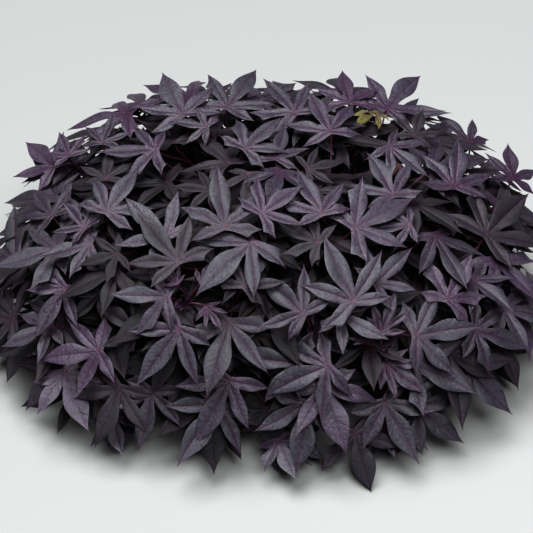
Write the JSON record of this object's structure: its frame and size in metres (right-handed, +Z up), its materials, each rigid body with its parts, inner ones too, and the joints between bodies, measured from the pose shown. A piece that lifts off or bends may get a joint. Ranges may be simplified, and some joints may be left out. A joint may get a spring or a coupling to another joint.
{
  "type": "sweet potato vine",
  "caption": "Low, wide mound of trailing vines on a woody crown, with dark, deeply lobed leaves on long petioles, purple young shoots and a few faded leaves.",
  "frame": {"origin": "centre of the crown's flat underside, at soil level, where the plant rests", "axes": "+Z up, away from the surface; +X along the mound's longest way; -Y towards the side that is seen in front"},
  "size_m": [0.899, 0.7387, 0.3402],
  "materials": {
    "bark": "matte",
    "dark_leaf": "satin",
    "young_leaf": "satin",
    "yellow_leaf": "satin",
    "olive_leaf": "matte",
    "brown_leaf": "matte"
  },
  "bodies": {
    "root": {"crown": "bark", "vine_01": "dark_leaf", "vine_02": "dark_leaf", "vine_03": "dark_leaf", "vine_04": "dark_leaf", "vine_05": "dark_leaf", "vine_06": "dark_leaf", "vine_07": "dark_leaf", "vine_08": "dark_leaf", "vine_09": "dark_leaf", "vine_10": "dark_leaf", "vine_11": "dark_leaf", "vine_12": "dark_leaf", "vine_13": "dark_leaf", "vine_14": "dark_leaf", "vine_15": "dark_leaf", "vine_16": "dark_leaf", "vine_17": "dark_leaf", "vine_18": "dark_leaf", "vine_19": "dark_leaf", "vine_20": "dark_leaf", "vine_21": "dark_leaf", "vine_22": "dark_leaf", "vine_23": "dark_leaf", "vine_24": "dark_leaf", "vine_25": "dark_leaf", "young_shoot_1": "young_leaf", "young_shoot_2": "young_leaf", "young_shoot_3": "young_leaf", "young_shoot_4": "young_leaf", "young_shoot_5": "young_leaf", "faded_leaf_1": "yellow_leaf", "faded_leaf_2": "olive_leaf", "faded_leaf_3": "brown_leaf"}
  },
  "joints": []
}
